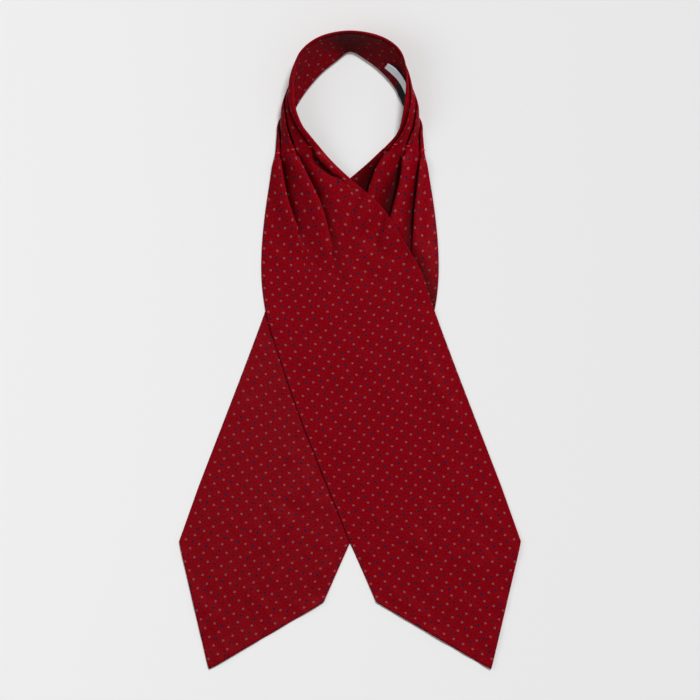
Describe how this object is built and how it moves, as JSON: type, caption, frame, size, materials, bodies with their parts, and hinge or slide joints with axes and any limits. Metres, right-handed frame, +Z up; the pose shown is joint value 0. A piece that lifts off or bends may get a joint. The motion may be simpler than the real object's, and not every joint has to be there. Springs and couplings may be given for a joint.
{
  "type": "silk day cravat",
  "caption": "Pleated silk day cravat laid flat, its neckband closed in a ring and its wide pointed blades crossed one over the other.",
  "frame": {"origin": "on the table under the middle of the laid cravat's box", "axes": "+Y towards the neckband's centre back, +X to the right of someone looking down with the neckband at the top, +Z up from the table"},
  "size_m": [0.3076, 0.5743, 0.0344],
  "materials": {
    "silk": "deep red silk twill with a small dot print, soft sheen",
    "white_satin": "white woven label satin",
    "black_satin": "black woven label satin"
  },
  "bodies": {
    "root": {"upper_blade": "silk", "under_blade": "silk", "neckband_upper_half": "silk", "neckband_under_half": "silk", "white_label": "white_satin", "black_label": "black_satin"}
  },
  "joints": []
}
